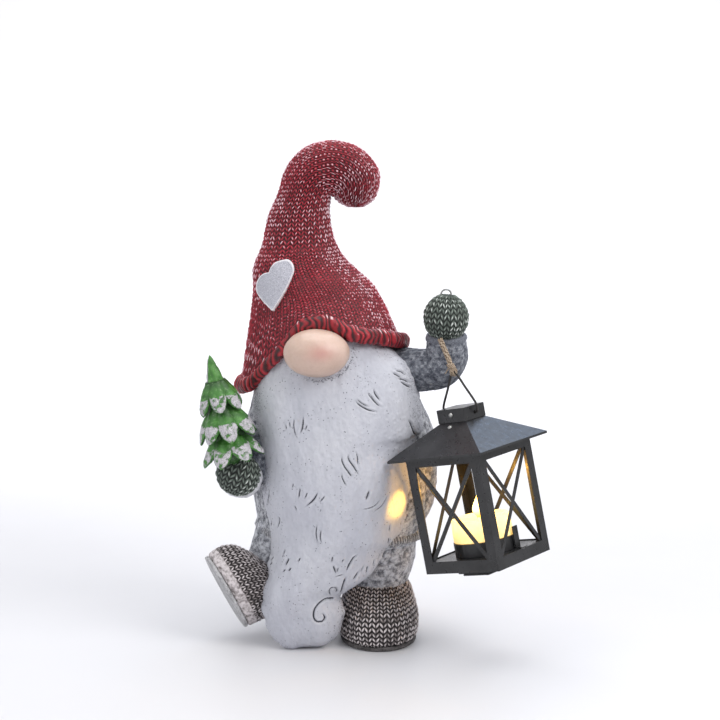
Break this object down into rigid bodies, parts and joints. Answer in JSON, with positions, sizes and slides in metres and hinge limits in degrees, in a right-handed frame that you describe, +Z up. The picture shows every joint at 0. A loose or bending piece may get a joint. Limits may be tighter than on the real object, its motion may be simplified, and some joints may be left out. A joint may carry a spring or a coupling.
{
  "type": "garden gnome figurine with lantern",
  "caption": "Cast garden gnome in a tall knitted hat with a long beard, one boot kicked up, holding a small fir tree and a hanging square LED lantern.",
  "frame": {"origin": "centre of the whole object's bounding box, on the surface it stands on", "axes": "+Z up, the gnome faces -Y, the lantern hangs toward +X"},
  "size_m": [0.3054, 0.2213, 0.4415],
  "materials": {
    "red_knit_paint": "matt paint over carved knit, frosted",
    "brim_red_paint": "satin paint over carved ribs",
    "heart_glitter_paint": "glitter paint",
    "nose_skin_paint": "satin paint with a pink blush",
    "beard_white_paint": "matt paint with a dark wash in the grooves",
    "coat_grey_paint": "rough dry-brushed paint",
    "sleeve_grey_paint": "rough dry-brushed paint",
    "mitten_green_grey_paint": "dry-brushed paint over carved knit",
    "boot_brown_grey_paint": "dry-brushed paint over carved knit",
    "trouser_dark_paint": "matt paint",
    "sole_pale_paint": "matt paint",
    "fir_green_paint": "matt paint with white snow tips",
    "steel_wire": "drawn wire",
    "jute_twine": "twisted jute",
    "black_lacquered_sheet": "semi-gloss black lacquer",
    "cream_candle_plastic": "translucent wax-like",
    "flame_silicone": "lit translucent silicone",
    "black_plastic": "moulded",
    "circuit_board_green": "solder mask",
    "led_amber": "clear lens, lit",
    "coin_cell_steel": "brushed",
    "switch_pale_plastic": "moulded"
  },
  "bodies": {
    "gnome": {"torso_coat": "coat_grey_paint", "hat": "red_knit_paint", "hat_rib": "brim_red_paint", "heart_patch": "heart_glitter_paint", "nose": "nose_skin_paint", "beard": "beard_white_paint", "raised_sleeve": "sleeve_grey_paint", "raised_mitten": "mitten_green_grey_paint", "mitten_eye": "steel_wire", "tree_sleeve": "sleeve_grey_paint", "tree_mitten": "mitten_green_grey_paint", "fir_tree": "fir_green_paint", "standing_leg": "trouser_dark_paint", "standing_boot": "boot_brown_grey_paint", "standing_sole": "sole_pale_paint", "raised_leg": "trouser_dark_paint", "raised_boot": "boot_brown_grey_paint", "raised_sole": "sole_pale_paint"},
    "hanger": {"hanging_twine": "jute_twine", "lantern_bail": "steel_wire"},
    "lantern": {"collar_rivet": "steel_wire", "roof_rivet": "steel_wire", "candle_base": "black_plastic", "candle_shell": "cream_candle_plastic", "flame": "flame_silicone", "led": "led_amber", "circuit_board": "circuit_board_green", "battery_box": "black_plastic", "coin_cell_low": "coin_cell_steel", "coin_cell_top": "coin_cell_steel", "lantern_frame": "black_lacquered_sheet", "lantern_floor": "black_lacquered_sheet", "lantern_roof": "black_lacquered_sheet", "lantern_collar": "black_lacquered_sheet", "brace_front_left": "black_lacquered_sheet", "brace_front_right": "black_lacquered_sheet", "brace_back_left": "black_lacquered_sheet", "brace_back_right": "black_lacquered_sheet", "retaining_clip": "black_lacquered_sheet"},
    "battery_cover": {"battery_cover": "black_plastic"},
    "switch_slider": {"switch_slider": "switch_pale_plastic"}
  },
  "joints": [
    {"name": "hanger_swing", "type": "hinge", "parent": "gnome", "child": "hanger", "pos_m": [0.0571, -0.0239, 0.2744], "axis": [-0.4462, -0.8949, 0], "range_deg": [0, 35]},
    {"name": "bail_pivot", "type": "hinge", "parent": "hanger", "child": "lantern", "pos_m": [0.07544, -0.03816, 0.21089], "axis": [0.7564, -0.6228, 0.2002], "range_deg": [-3, 20]},
    {"name": "battery_cover_slide", "type": "slide", "parent": "lantern", "child": "battery_cover", "axis": [-0.6278, -0.777, -0.0451], "range_m": [0, 0.03]},
    {"name": "switch_slide", "type": "slide", "parent": "lantern", "child": "switch_slider", "axis": [-0.6278, -0.777, -0.0451], "range_m": [0, 0.003]}
  ]
}
